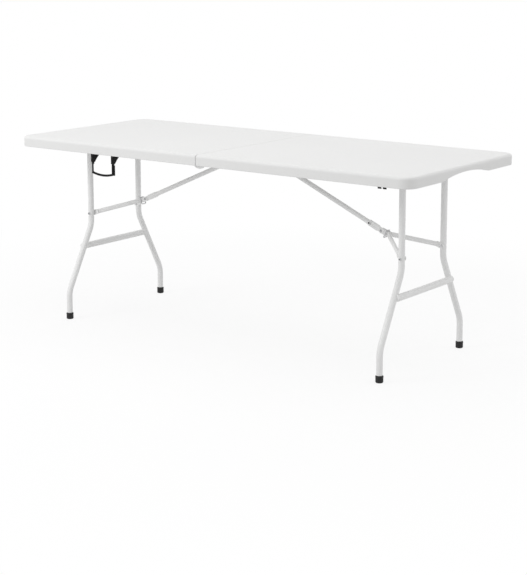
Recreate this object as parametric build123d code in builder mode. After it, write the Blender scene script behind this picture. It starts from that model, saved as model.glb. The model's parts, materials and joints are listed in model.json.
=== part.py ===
from build123d import *
from math import atan2, cos, radians, sin, sqrt, tan
import os

# A table that folds in half: two moulded half tops joined by two hinges, and under each
# half a folding leg frame that is held open by a strut and a fork.
# Millimetres. The origin is on the floor under the middle of the open table, +X runs along
# its length to the right, +Y to the rear and +Z up. Each piece is drawn on the right half,
# and the left half has the same pieces after half a turn about Z.

os.makedirs("parts", exist_ok=True)

# Open table
table_length = 1800.0
table_width = 740.0
table_height = 740.0

# Moulded half tops
rim_depth = 40.0
rim_wall = 20.0
panel_thickness = 12.0
seam_wall = 10.0
seam_gap = 2.0
corner_radius = 48.0
top_edge_radius = 11.0
rim_edge_radius = 2.5
seam_edge_radius = 2.0
recess_corner_radius = 25.0
arch_half_width = 165.0
arch_rise = 18.5
channel_width = 44.0
channel_depth = 6.0
channel_margin = 15.0
dimple_radius = 12.0
dimple_depth = 4.0
dimple_pitch = 70.0

# Fits
running_clearance = 0.05
side_play = 0.3
fold_clearance = 0.5

# Leg frames
leg_diameter = 23.0
leg_wall = 1.2
leg_top_rise = 12.0
foot_inset = 90.0
leg_spread = 136.0
upper_bend_height = 368.0
lower_bend_height = 113.0
leg_bend_radius = 95.0
leg_lean = 0.5
fold_short = 1.7
axle_setback = 167.0
axle_diameter = 19.0
axle_wall = 1.5
axle_overhang = 11.0
brace_height = 283.0
brace_offset = 11.0
brace_diameter = 24.5
brace_wall = 1.2
brace_plug = 28.0
brace_end_round = 4.0
brace_vent = 5.0
foot_diameter = 28.0
foot_height = 27.0
foot_floor = 6.0
foot_round = 4.0
sole_round = 4.0

# Blocks that carry the leg axle
block_setback = 36.0
block_width = 20.0
block_flange_half = 30.0
block_flange = 3.0
block_screw_reach = 22.0

# Strut, fork and lock ring
strut_pivot_x = 25.0
strut_pivot_drop = 20.0
strut_fold_angle = 1.2
strut_diameter = 17.5
strut_wall = 1.2
strut_eye_radius = 8.5
strut_eye_length = 46.0
strut_pin_diameter = 6.0
tongue_gauge = 8.0
tongue_length = 52.0
tongue_half = 8.0
tongue_tail = 30.0
hump_half = 10.5
hump_length = 54.0
hump_setback = 38.0
hump_round = 8.0
strut_hole_diameter = 5.0
strut_hole_setback = 56.5
fork_pivot_rise = 22.75
fork_height = 17.5
fork_width = 10.0
knuckle_drop = 13.0
knuckle_pin_diameter = 6.5
cheek_half = 9.0
cheek_gauge = 3.5
cheek_length = 36.0
fork_eye_radius = 10.0
fork_eye_gauge = 3.0
fork_eye_length = 18.0
ring_seat = 22.0
ring_wire = 4.0
ring_half_width = 10.2
ring_drop = 12.6

# Anchor bracket of the strut
anchor_gauge = 2.0
anchor_plate_length = 44.0
anchor_plate_width = 36.0
anchor_cheek_radius = 6.0
anchor_screw_x = 15.0
anchor_screw_y = 12.0

# Rails and centre hinges
rail_start = 26.0
rail_handle_gap = 35.4
rail_height = 24.0
rail_flange = 20.0
rail_gauge = 1.5
rail_screw_y = 12.0
rail_screw_near = 64.0
rail_screw_far = 60.0
rail_screw_count = 3
leaf_gauge = 3.0
leaf_setback = 0.7
lobe_half = 25.0
lobe_drop = 13.0
leaf_start = 32.0
leaf_length = 44.0
leaf_height = 19.0
leaf_rivet_inset = 9.0
hinge_pin_diameter = 6.0
hinge_notch = 12.0

# Fasteners
screw_diameter = 4.5
screw_length = 6.0
screw_head_diameter = 9.0
screw_head_height = 2.5
rivet_diameter = 6.5
rivet_head_diameter = 10.0
rivet_head_height = 2.5
small_rivet_diameter = 5.0
small_head_diameter = 9.0
pin_head_height = 1.6

# Carry handle, under the front edge of the left half
handle_setback = 424.0
handle_half = 51.5
handle_reach = 54.0
handle_flare = 1.5
handle_bow = 8.0
bail_diameter = 8.5
bail_arm_width = 13.0
bail_arm_gauge = 5.5
bail_arm_turn = 40.0
bail_arm_start = 11.0
bail_tab = 14.0
bail_eye_radius = 4.5
bail_eye_width = 5.0
bail_pin_diameter = 4.0
bail_play = 0.4
bracket_cheek = 2.2
bracket_depth = 49.0
bracket_foot = 11.0
bracket_drop = 35.0
bracket_round = 3.0
bail_pivot_drop = 28.0
bail_pivot_inset = 5.5
bracket_flange = 3.0
bracket_flange_reach = 14.0
bracket_flange_depth = 24.0

# Latch that holds the folded halves together, near the free ends of the front edge
latch_setback = 122.0
latch_width = 32.0
latch_depth = 6.0
latch_height = 20.0
prong_width = 12.0
prong_length = 9.5
prong_depth = 4.5
catch_wall = 3.0
catch_play = 0.5
prong_nose = 1.5

# Places that follow from the sizes above
rim_bottom = table_height - rim_depth
ceiling = table_height - panel_thickness
channel_ceiling = ceiling + channel_depth
half_length = (table_length - seam_gap) / 2
recess_y = table_width / 2 - rim_wall
recess_start = seam_gap / 2 + seam_wall
recess_end = table_length / 2 - rim_wall
foot_y = table_width / 2 - foot_inset
upper_leg_y = foot_y - leg_spread
block_y = upper_leg_y - block_setback
handle_x = handle_setback - table_length / 2
latch_x = table_length / 2 - latch_setback
leg_radius = leg_diameter / 2
axle_radius = axle_diameter / 2
axle_x = table_length / 2 - axle_setback
axle_z = ceiling - leg_radius - fold_clearance
block_radius = ceiling - axle_z
lean = radians(leg_lean)
screw_radius = screw_diameter / 2
across = (0, 1, 0)

leg_plane = Plane(origin=(axle_x, 0, axle_z), x_dir=across, z_dir=(cos(lean), 0, sin(lean)))


def along_leg(height):
    """Place along the leg frame, from its axle, of a height above the floor."""
    return (height - axle_z) / cos(lean)


# The fork turns on the legs just above the end of their upper bend.
leg_bend_angle = atan2(leg_spread, upper_bend_height - lower_bend_height)
leg_bend_start = upper_bend_height + leg_bend_radius * tan(leg_bend_angle / 2) * cos(lean)
fork_pivot_height = leg_bend_start + fork_pivot_rise

# The leg stops a little short of flat, so that the brace between the legs passes under the strut,
# which then lies in its channel. The knuckle hangs a little below the line of the open strut and
# fork. The lengths of both follow.
leg_pivot = leg_plane.from_local_coords((0, along_leg(fork_pivot_height), 0))
pivot_reach = -along_leg(fork_pivot_height)
short = radians(fold_short)
folded_pivot = Vector(axle_x - pivot_reach * cos(short), 0, axle_z - pivot_reach * sin(short))
strut_pivot = Vector(strut_pivot_x, 0, ceiling - strut_pivot_drop)
folded_angle = radians(strut_fold_angle)
folded_direction = Vector(cos(folded_angle), 0, sin(folded_angle))
open_span = (leg_pivot - strut_pivot).length
folded_span = (folded_pivot - strut_pivot).length
folded_share = folded_direction.dot(folded_pivot - strut_pivot)
span_change = open_span**2 - folded_span**2
square_term = open_span**2 - folded_share**2
plain_term = span_change**2 + 4 * open_span**2 * knuckle_drop**2
linear_term = span_change * folded_share
strut_reach = (linear_term + sqrt(linear_term**2 + square_term * plain_term)) / (2 * square_term)
span_direction = (leg_pivot - strut_pivot).normalized()
span_below = Vector(span_direction.Z, 0, -span_direction.X)
knuckle_along = sqrt(strut_reach**2 - knuckle_drop**2)
knuckle = strut_pivot + span_direction * knuckle_along + span_below * knuckle_drop
fork_reach = (leg_pivot - knuckle).length
folded_knuckle = strut_pivot + folded_direction * strut_reach
strut_direction = (knuckle - strut_pivot).normalized()
fork_direction = (leg_pivot - knuckle).normalized()
strut_plane = Plane(origin=strut_pivot, x_dir=strut_direction, z_dir=(0, -1, 0))
fork_plane = Plane(origin=knuckle, x_dir=fork_direction, z_dir=(0, -1, 0))
knuckle_angle = radians(strut_direction.get_angle(fork_direction))

tongue_side = tongue_gauge / 2
cheek_inner = tongue_side + side_play
cheek_outer = cheek_inner + cheek_gauge
fork_eye_outer = upper_leg_y - leg_radius - side_play
fork_eye_inner = fork_eye_outer - fork_eye_gauge

rail_face = recess_y - leaf_setback - 2 * leaf_gauge - side_play
rail_inner = rail_face - rail_gauge
far_leaf_face = rail_face + leaf_gauge + side_play
leaf_z = ceiling - rail_height / 2
leaf_top = leaf_z + leaf_height / 2
leaf_rivets_x = (leaf_start + leaf_rivet_inset, leaf_start + leaf_length - leaf_rivet_inset)

bracket_face = -recess_y
bail_pivot = (bracket_face + bail_pivot_inset, rim_bottom - bail_pivot_drop)
bracket_slot = bail_eye_width + 2 * bail_play
bracket_width = bracket_slot + 2 * bracket_cheek

# The rails end short of the handle's inner bracket.
rail_end = -handle_x - handle_half - bracket_width / 2 - bracket_flange_reach - rail_handle_gap
rail_length = rail_end - rail_start

# Screws sit with their heads against the piece that they hold, and run up into the moulding.
rail_screw_pitch = (rail_length - rail_screw_near - rail_screw_far) / (rail_screw_count - 1)
rail_screws_x = [rail_start + rail_screw_near + i * rail_screw_pitch for i in range(rail_screw_count)]
rail_screw_seats = [
    (x, y, ceiling - rail_gauge)
    for x in rail_screws_x
    for y in (rail_screw_y - rail_face, rail_face - rail_screw_y)
]
block_screw_seats = [
    (axle_x + x, y, ceiling - block_flange)
    for x in (-block_screw_reach, block_screw_reach)
    for y in (-block_y, block_y)
]
anchor_plate_x = strut_pivot_x - anchor_plate_length / 4 + anchor_plate_length / 2
anchor_screw_seats = [
    (anchor_plate_x + x, y, channel_ceiling - anchor_gauge)
    for x in (-anchor_screw_x, anchor_screw_x)
    for y in (-anchor_screw_y, anchor_screw_y)
]
bracket_flange_y = bracket_face + bracket_depth / 2
bracket_screw_seats = [
    (handle_x + end * handle_half + side * (bracket_width + bracket_flange_reach) / 2,
     bracket_flange_y, ceiling - bracket_flange)
    for end in (-1, 1)
    for side in (-1, 1)
]


def keep(piece, name):
    """Write one finished piece under its name."""
    piece.label = name
    export_step(piece, f"parts/{name}.step")


def keep_pair(piece, name):
    """Write a piece of the right half and the same piece of the left half."""
    keep(piece, f"right_{name}")
    keep(piece.rotate(Axis.Z, 180), f"left_{name}")


def keep_four(piece, name):
    """Write a front piece of the right half, its mirror image at the rear, and both on the left."""
    rear = piece.mirror(Plane.XZ)
    keep(piece, f"right_front_{name}")
    keep(rear, f"right_rear_{name}")
    keep(rear.rotate(Axis.Z, 180), f"left_front_{name}")
    keep(piece.rotate(Axis.Z, 180), f"left_rear_{name}")


def cross_plane(x, y, z):
    """Plane at a point, facing +Y, for pins and holes that run across the table."""
    return Plane(origin=(x, y, z), x_dir=(1, 0, 0), z_dir=across)


def screw_group(seats):
    """Screws driven upwards, each with its head under one of the seats."""
    with BuildPart() as group:
        with Locations(*seats):
            Cylinder(screw_radius, screw_length, align=(Align.CENTER, Align.CENTER, Align.MIN))
            Cylinder(
                screw_head_diameter / 2,
                screw_head_height,
                align=(Align.CENTER, Align.CENTER, Align.MAX),
            )
    return group.part


# Moulded half top: a panel with a deep rim, an arch in the end rim, a channel for the folded
# strut and rows of dimples where the lower skin meets the upper one. The screw seats of the axle
# blocks and of the handle are left without dimples.
with BuildPart() as half_top:
    with BuildSketch(Plane.XY.offset(rim_bottom)) as outline:
        with Locations((seam_gap / 2, 0)):
            Rectangle(half_length, table_width, align=(Align.MIN, Align.CENTER))
        fillet(outline.vertices().group_by(Axis.X)[-1], corner_radius)
    extrude(amount=rim_depth)
    fillet(half_top.faces().sort_by(Axis.Z)[-1].edges().sort_by(Axis.X)[1:], top_edge_radius)
    fillet(half_top.faces().sort_by(Axis.Z)[0].edges().sort_by(Axis.X)[1:], rim_edge_radius)
    fillet(half_top.faces().sort_by(Axis.X)[0].edges(), seam_edge_radius)
    with BuildSketch(Plane.XY.offset(rim_bottom)) as recess:
        with Locations((recess_start, 0)):
            Rectangle(recess_end - recess_start, 2 * recess_y, align=(Align.MIN, Align.CENTER))
        fillet(recess.vertices().group_by(Axis.X)[-1], recess_corner_radius)
    extrude(amount=rim_depth - panel_thickness, mode=Mode.SUBTRACT)
    with Locations((0, recess_y - hinge_notch / 2, rim_bottom), (0, hinge_notch / 2 - recess_y, rim_bottom)):
        Box(
            2 * recess_start,
            hinge_notch,
            rim_depth - panel_thickness,
            align=(Align.CENTER, Align.CENTER, Align.MIN),
            mode=Mode.SUBTRACT,
        )
    with Locations((recess_start, 0, ceiling)):
        Box(
            strut_pivot_x + strut_reach + tongue_tail + channel_margin - recess_start,
            channel_width,
            channel_depth,
            align=(Align.MIN, Align.CENTER, Align.MIN),
            mode=Mode.SUBTRACT,
        )
    with BuildSketch(Plane.YZ.offset(recess_end)):
        with BuildLine():
            arch = ThreePointArc(
                (-arch_half_width, rim_bottom),
                (0, rim_bottom + arch_rise),
                (arch_half_width, rim_bottom),
            )
            Line(arch @ 1, arch @ 0)
        make_face()
    extrude(amount=rim_wall, mode=Mode.SUBTRACT)
    dimple_columns = int((recess_end - recess_start) / dimple_pitch)
    dimple_rows = 2 * int(recess_y / dimple_pitch)
    with Locations(((recess_start + recess_end) / 2, 0, ceiling)):
        with GridLocations(dimple_pitch, dimple_pitch, dimple_columns, dimple_rows):
            Cone(
                dimple_radius,
                dimple_radius - dimple_depth,
                dimple_depth,
                align=(Align.CENTER, Align.CENTER, Align.MIN),
                mode=Mode.SUBTRACT,
            )
    with Locations((axle_x, block_y, ceiling), (axle_x, -block_y, ceiling)):
        Box(
            2 * block_flange_half,
            block_width,
            dimple_depth,
            align=(Align.CENTER, Align.CENTER, Align.MIN),
        )
    with Locations(*[(end * handle_half - handle_x, -bracket_flange_y, ceiling) for end in (-1, 1)]):
        Box(
            bracket_width + 2 * bracket_flange_reach,
            bracket_flange_depth,
            dimple_depth,
            align=(Align.CENTER, Align.CENTER, Align.MIN),
        )
keep_pair(half_top.part, "top")

# Rails along the front and rear of the recess, from the seam outwards
with BuildPart() as front_rail:
    with BuildSketch(Plane.YZ.offset(rail_start)):
        with Locations((-rail_face, ceiling)):
            Rectangle(rail_gauge, rail_height, align=(Align.MIN, Align.MAX))
            Rectangle(rail_flange, rail_gauge, align=(Align.MIN, Align.MAX))
    extrude(amount=rail_length)
    with Locations(*[cross_plane(x, -rail_face, leaf_z) for x in leaf_rivets_x]):
        Cylinder(small_rivet_diameter / 2, 4 * rail_gauge, mode=Mode.SUBTRACT)
    with Locations(*[(x, rail_screw_y - rail_face, ceiling) for x in rail_screws_x]):
        Cylinder(screw_radius, 4 * rail_gauge, mode=Mode.SUBTRACT)
keep_four(front_rail.part, "rail")
keep_pair(screw_group(rail_screw_seats), "rail_screws")

# Hinge leaf that lies against its rail, with a lobe round the pin below the rim
with BuildPart() as near_leaf:
    with BuildSketch(Plane.XZ.offset(rail_face)):
        with BuildLine():
            lobe = ThreePointArc(
                (-lobe_half, rim_bottom),
                (0, rim_bottom - lobe_drop),
                (lobe_half, rim_bottom),
            )
            Polyline(lobe @ 1, (lobe_half, leaf_top), (0, leaf_top), lobe @ 0)
        make_face()
        with Locations((0, leaf_z)):
            Rectangle(leaf_start + leaf_length, leaf_height, align=(Align.MIN, Align.CENTER))
    extrude(amount=leaf_gauge)
    with Locations(cross_plane(0, -rail_face, rim_bottom)):
        Cylinder(hinge_pin_diameter / 2 + running_clearance, 4 * leaf_gauge, mode=Mode.SUBTRACT)
    with Locations(*[cross_plane(x, -rail_face, leaf_z) for x in leaf_rivets_x]):
        Cylinder(small_rivet_diameter / 2, 4 * leaf_gauge, mode=Mode.SUBTRACT)
keep(near_leaf.part, "front_hinge_right_leaf")
keep(near_leaf.part.rotate(Axis.Z, 180), "rear_hinge_left_leaf")

# Hinge leaf outside that one, with a pad that brings it back to its rail
with BuildPart() as far_leaf:
    with BuildSketch(Plane.XZ.offset(-far_leaf_face)):
        with BuildLine():
            lobe = ThreePointArc(
                (-lobe_half, rim_bottom),
                (0, rim_bottom - lobe_drop),
                (lobe_half, rim_bottom),
            )
            Polyline(lobe @ 1, (lobe_half, leaf_top), (0, leaf_top), lobe @ 0)
        make_face()
        with Locations((0, leaf_z)):
            Rectangle(leaf_start + leaf_length, leaf_height, align=(Align.MIN, Align.CENTER))
    extrude(amount=-leaf_gauge)
    with BuildSketch(Plane.XZ.offset(-rail_face)):
        with Locations((leaf_start, leaf_z)):
            Rectangle(leaf_length, leaf_height, align=(Align.MIN, Align.CENTER))
    extrude(amount=-(far_leaf_face - rail_face))
    with Locations(cross_plane(0, far_leaf_face, rim_bottom)):
        Cylinder(hinge_pin_diameter / 2, 4 * leaf_gauge, mode=Mode.SUBTRACT)
    with Locations(*[cross_plane(x, rail_face, leaf_z) for x in leaf_rivets_x]):
        Cylinder(small_rivet_diameter / 2, 8 * leaf_gauge, mode=Mode.SUBTRACT)
keep(far_leaf.part, "rear_hinge_right_leaf")
keep(far_leaf.part.rotate(Axis.Z, 180), "front_hinge_left_leaf")

# Hinge pin, with its head on the inside and a flush outer end
hinge_pin_head = side_play - rail_face
with BuildPart() as hinge_pin:
    with Locations(cross_plane(0, hinge_pin_head, rim_bottom)):
        Cylinder(
            hinge_pin_diameter / 2,
            far_leaf_face + leaf_gauge + hinge_pin_head,
            align=(Align.CENTER, Align.CENTER, Align.MAX),
        )
        Cylinder(
            small_head_diameter / 2,
            pin_head_height,
            align=(Align.CENTER, Align.CENTER, Align.MIN),
        )
keep(hinge_pin.part, "front_hinge_pin")
keep(hinge_pin.part.rotate(Axis.Z, 180), "rear_hinge_pin")

# Rivets that hold both leaves of one half to its rails
with BuildPart() as leaf_rivets:
    with Locations(*[cross_plane(x, -rail_inner, leaf_z) for x in leaf_rivets_x]):
        Cylinder(
            small_rivet_diameter / 2,
            rail_gauge + leaf_gauge,
            align=(Align.CENTER, Align.CENTER, Align.MAX),
        )
        Cylinder(small_head_diameter / 2, pin_head_height, align=(Align.CENTER, Align.CENTER, Align.MIN))
    with Locations(*[cross_plane(x, -rail_face - leaf_gauge, leaf_z) for x in leaf_rivets_x]):
        Cylinder(small_head_diameter / 2, pin_head_height, align=(Align.CENTER, Align.CENTER, Align.MAX))
    with Locations(*[cross_plane(x, rail_inner, leaf_z) for x in leaf_rivets_x]):
        Cylinder(
            small_rivet_diameter / 2,
            far_leaf_face + leaf_gauge - rail_inner,
            align=(Align.CENTER, Align.CENTER, Align.MIN),
        )
        Cylinder(small_head_diameter / 2, pin_head_height, align=(Align.CENTER, Align.CENTER, Align.MAX))
keep_pair(leaf_rivets.part, "leaf_rivets")

# Block that the leg axle turns in
with BuildPart() as axle_block:
    with BuildSketch(Plane.XZ.offset(block_y - block_width / 2)):
        with Locations((axle_x, axle_z)):
            Circle(block_radius)
        with Locations((axle_x, ceiling)):
            Rectangle(2 * block_radius, ceiling - axle_z, align=(Align.CENTER, Align.MAX))
            Rectangle(2 * block_flange_half, block_flange, align=(Align.CENTER, Align.MAX))
        with Locations((axle_x, axle_z)):
            Circle(axle_radius + running_clearance, mode=Mode.SUBTRACT)
    extrude(amount=block_width)
    with Locations(*[(x, y, ceiling) for x, y, z in block_screw_seats if y < 0]):
        Cylinder(screw_radius, 4 * block_flange, mode=Mode.SUBTRACT)
keep_four(axle_block.part, "axle_block")
keep_pair(screw_group(block_screw_seats), "axle_block_screws")

# Axle tube across the top of the leg frame
axle_length = 2 * (upper_leg_y + leg_radius + axle_overhang)
with BuildPart() as leg_axle:
    with Locations(cross_plane(axle_x, 0, axle_z)):
        Cylinder(axle_radius, axle_length)
        Cylinder(axle_radius - axle_wall, axle_length, mode=Mode.SUBTRACT)
keep_pair(leg_axle.part, "leg_axle")

# Leg tube, bent outwards to its foot. Its upper end is rounded about the axle, so that it
# clears the panel while the leg folds.
leg_corners = [
    (-upper_leg_y, leg_top_rise),
    (-upper_leg_y, along_leg(upper_bend_height)),
    (-foot_y, along_leg(lower_bend_height)),
    (-foot_y, along_leg(foot_floor)),
]
with BuildLine(leg_plane) as leg_line:
    FilletPolyline(*leg_corners, radius=leg_bend_radius)
leg_section = Plane(origin=leg_line.line @ 0, x_dir=across, z_dir=leg_line.line % 0)
with BuildPart() as leg_rod:
    with BuildSketch(leg_section):
        Circle(leg_radius)
    sweep(path=leg_line.line)
with BuildPart() as leg_bore:
    with BuildSketch(leg_section):
        Circle(leg_radius - leg_wall)
    sweep(path=leg_line.line)
leg_end_radius = leg_radius + fold_clearance - side_play
leg_end_place = leg_plane.from_local_coords((-upper_leg_y, 0, 0))
with BuildPart() as leg_end:
    with Locations(Plane(origin=leg_end_place, x_dir=across, z_dir=leg_plane.z_dir)):
        Box(
            2 * leg_diameter,
            leg_diameter,
            2 * leg_diameter,
            align=(Align.CENTER, Align.MIN, Align.CENTER),
        )
    with Locations(cross_plane(axle_x, -upper_leg_y, axle_z)):
        Cylinder(leg_end_radius, 4 * leg_diameter, mode=Mode.SUBTRACT)
with BuildPart() as front_leg:
    add(leg_rod.part)
    add(leg_bore.part, mode=Mode.SUBTRACT)
    add(leg_end.part, mode=Mode.SUBTRACT)
    with Locations(cross_plane(axle_x, -upper_leg_y, axle_z)):
        Cylinder(axle_radius, 2 * leg_diameter, mode=Mode.SUBTRACT)
    with Locations(cross_plane(leg_pivot.X, -upper_leg_y, leg_pivot.Z)):
        Cylinder(rivet_diameter / 2, 2 * leg_diameter, mode=Mode.SUBTRACT)
keep_four(front_leg.part, "leg")

# Brace between the legs, coped round the outer side of both tubes. Its ends are closed, and a
# hole underneath vents it.
bend_drop = upper_bend_height - lower_bend_height
brace_leg_y = upper_leg_y + (foot_y - upper_leg_y) * (upper_bend_height - brace_height) / bend_drop
brace_length = 2 * brace_leg_y
brace_bore = brace_length - 2 * brace_plug
brace_centre = leg_plane.from_local_coords((0, along_leg(brace_height), brace_offset))
with BuildPart() as lower_brace:
    with Locations(cross_plane(brace_centre.X, 0, brace_centre.Z)):
        Cylinder(brace_diameter / 2, brace_length)
    fillet(lower_brace.edges().filter_by(GeomType.CIRCLE), brace_end_round)
    with Locations(cross_plane(brace_centre.X, 0, brace_centre.Z)):
        Cylinder(brace_diameter / 2 - brace_wall, brace_bore, mode=Mode.SUBTRACT)
    with Locations((brace_centre.X, brace_bore / 2 - brace_vent, brace_centre.Z)):
        Cylinder(
            brace_vent / 2,
            brace_diameter,
            align=(Align.CENTER, Align.CENTER, Align.MAX),
            mode=Mode.SUBTRACT,
        )
    add(leg_rod.part, mode=Mode.SUBTRACT)
    add(leg_rod.part.mirror(Plane.XZ), mode=Mode.SUBTRACT)
keep_pair(lower_brace.part, "lower_brace")

# Foot cap over the end of a leg, cut level with the floor
foot_place = leg_plane.from_local_coords((-foot_y, along_leg(0), 0))
foot_plane = Plane(origin=foot_place, x_dir=across, z_dir=leg_plane.y_dir)
with BuildPart() as front_foot:
    with BuildSketch(foot_plane.offset(-foot_round)):
        Circle(foot_diameter / 2)
    extrude(amount=foot_height + foot_round)
    fillet(front_foot.faces().sort_by(Axis.Z)[-1].edges(), foot_round)
    with BuildSketch(foot_plane.offset(along_leg(foot_floor) - along_leg(0))):
        Circle(leg_radius)
    extrude(amount=foot_height, mode=Mode.SUBTRACT)
    split(bisect_by=Plane.XY, keep=Keep.TOP)
    fillet(front_foot.faces().sort_by(Axis.Z)[0].edges(), sole_round)
keep_four(front_foot.part, "foot")

# Rivets through the legs that the fork turns on, up to the inner side of each tube
with BuildPart() as leg_rivets:
    with Locations(cross_plane(leg_pivot.X, leg_radius - upper_leg_y, leg_pivot.Z)):
        Cylinder(rivet_diameter / 2, leg_diameter, align=(Align.CENTER, Align.CENTER, Align.MAX))
    with Locations(cross_plane(leg_pivot.X, -leg_radius - upper_leg_y, leg_pivot.Z)):
        Cylinder(
            rivet_head_diameter / 2,
            rivet_head_height,
            align=(Align.CENTER, Align.CENTER, Align.MAX),
        )
    mirror(about=Plane.XZ)
keep_pair(leg_rivets.part, "leg_rivets")

# Anchor bracket of the strut, in the channel near the seam
with BuildPart() as strut_anchor:
    with Locations((anchor_plate_x, 0, channel_ceiling)):
        Box(
            anchor_plate_length,
            anchor_plate_width,
            anchor_gauge,
            align=(Align.CENTER, Align.CENTER, Align.MAX),
        )
    with BuildSketch(Plane.XZ.offset(cheek_inner)):
        with Locations((strut_pivot.X, strut_pivot.Z)):
            Circle(anchor_cheek_radius)
            Rectangle(
                2 * anchor_cheek_radius,
                channel_ceiling - strut_pivot.Z,
                align=(Align.CENTER, Align.MIN),
            )
    extrude(amount=anchor_gauge)
    mirror(about=Plane.XZ)
    with Locations(cross_plane(strut_pivot.X, 0, strut_pivot.Z)):
        Cylinder(strut_pin_diameter / 2, 2 * anchor_plate_width, mode=Mode.SUBTRACT)
    with Locations(*[(x, y, channel_ceiling) for x, y, z in anchor_screw_seats]):
        Cylinder(screw_radius, 4 * anchor_gauge, mode=Mode.SUBTRACT)
keep_pair(strut_anchor.part, "strut_anchor")
keep_pair(screw_group(anchor_screw_seats), "anchor_screws")

# Pin of the strut in its anchor bracket
anchor_outer = cheek_inner + anchor_gauge
with BuildPart() as strut_pin:
    with Locations(cross_plane(strut_pivot.X, 0, strut_pivot.Z)):
        Cylinder(strut_pin_diameter / 2, 2 * anchor_outer)
    with Locations(cross_plane(strut_pivot.X, anchor_outer, strut_pivot.Z)):
        Cylinder(small_head_diameter / 2, pin_head_height, align=(Align.CENTER, Align.CENTER, Align.MIN))
    mirror(about=Plane.XZ)
keep_pair(strut_pin.part, "strut_pin")

# Strut: a tube flattened to an eye at the anchor and to a tongue at the knuckle
with BuildPart() as strut:
    with BuildSketch(
        Plane(origin=strut_pivot + strut_direction * strut_eye_length, x_dir=across, z_dir=strut_direction)
    ):
        Circle(strut_diameter / 2)
        Circle(strut_diameter / 2 - strut_wall, mode=Mode.SUBTRACT)
    extrude(amount=strut_reach - strut_eye_length - tongue_length)
    with BuildSketch(strut_plane):
        Circle(strut_eye_radius)
        Rectangle(
            strut_eye_length + strut_diameter / 2,
            2 * strut_eye_radius,
            align=(Align.MIN, Align.CENTER),
        )
        with Locations((strut_reach - hump_setback, 0)):
            RectangleRounded(hump_length, 2 * hump_half, hump_round)
        with Locations((strut_reach, 0)):
            SlotCenterToCenter(2 * (tongue_tail - tongue_half), 2 * tongue_half)
    extrude(amount=tongue_side, both=True)
    with Locations(cross_plane(strut_pivot.X, 0, strut_pivot.Z)):
        Cylinder(strut_pin_diameter / 2 + running_clearance, strut_diameter, mode=Mode.SUBTRACT)
    with Locations(cross_plane(knuckle.X, 0, knuckle.Z)):
        Cylinder(knuckle_pin_diameter / 2 + running_clearance, strut_diameter, mode=Mode.SUBTRACT)
    strut_hole = strut_pivot + strut_direction * (strut_reach - strut_hole_setback)
    with Locations(cross_plane(strut_hole.X, 0, strut_hole.Z)):
        Cylinder(
            strut_hole_diameter / 2,
            strut_diameter,
            align=(Align.CENTER, Align.CENTER, Align.MAX),
            mode=Mode.SUBTRACT,
        )
keep_pair(strut.part, "strut")

# Fork arm: a flattened tube with a flat cheek beside the tongue and a flat eye beside the leg.
# The tube runs on to the inner face of the cheek and to the outer face of the eye.
arm_near = knuckle + fork_direction * cheek_length - Vector(0, cheek_outer + side_play, 0)
arm_far = knuckle + fork_direction * (fork_reach - fork_eye_length) - Vector(0, fork_eye_inner, 0)
arm_direction = (arm_far - arm_near).normalized()
arm_start = arm_near - arm_direction * 2 * fork_width
with BuildPart() as fork_arm:
    with BuildSketch(Plane(origin=arm_start, x_dir=fork_plane.y_dir, z_dir=arm_direction)):
        SlotOverall(fork_height, fork_width)
    extrude(amount=(arm_far - arm_near).length + 4 * fork_width)
    split(bisect_by=Plane.XZ.offset(cheek_inner), keep=Keep.TOP)
    split(bisect_by=Plane.XZ.offset(fork_eye_outer), keep=Keep.BOTTOM)
    with BuildSketch(fork_plane.offset(cheek_inner)):
        with Locations((cheek_length / 2, 0)):
            SlotCenterToCenter(cheek_length, 2 * cheek_half)
    extrude(amount=cheek_gauge)
    with BuildSketch(fork_plane.offset(fork_eye_inner)):
        with Locations((fork_reach - fork_eye_length / 2, 0)):
            SlotCenterToCenter(fork_eye_length, 2 * fork_eye_radius)
    extrude(amount=fork_eye_gauge)
    with Locations(cross_plane(knuckle.X, -cheek_inner, knuckle.Z)):
        Cylinder(knuckle_pin_diameter / 2, 4 * cheek_gauge, mode=Mode.SUBTRACT)
    with Locations(cross_plane(leg_pivot.X, -fork_eye_inner, leg_pivot.Z)):
        Cylinder(rivet_diameter / 2, 4 * fork_eye_gauge, mode=Mode.SUBTRACT)
keep_four(fork_arm.part, "fork_arm")

# Knuckle pin through the tongue and both cheeks
with BuildPart() as knuckle_pin:
    with Locations(cross_plane(knuckle.X, 0, knuckle.Z)):
        Cylinder(knuckle_pin_diameter / 2, 2 * cheek_outer)
    with Locations(cross_plane(knuckle.X, cheek_outer, knuckle.Z)):
        Cylinder(rivet_head_diameter / 2, pin_head_height, align=(Align.CENTER, Align.CENTER, Align.MIN))
    mirror(about=Plane.XZ)
keep_pair(knuckle_pin.part, "knuckle_pin")

# Inner ends of the leg pivots, held in the eyes of the fork
with BuildPart() as fork_rivets:
    with Locations(cross_plane(leg_pivot.X, -fork_eye_inner, leg_pivot.Z)):
        Cylinder(rivet_diameter / 2, fork_eye_gauge, align=(Align.CENTER, Align.CENTER, Align.MAX))
        Cylinder(
            rivet_head_diameter / 2,
            rivet_head_height,
            align=(Align.CENTER, Align.CENTER, Align.MIN),
        )
    mirror(about=Plane.XZ)
keep_pair(fork_rivets.part, "fork_rivets")

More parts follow.
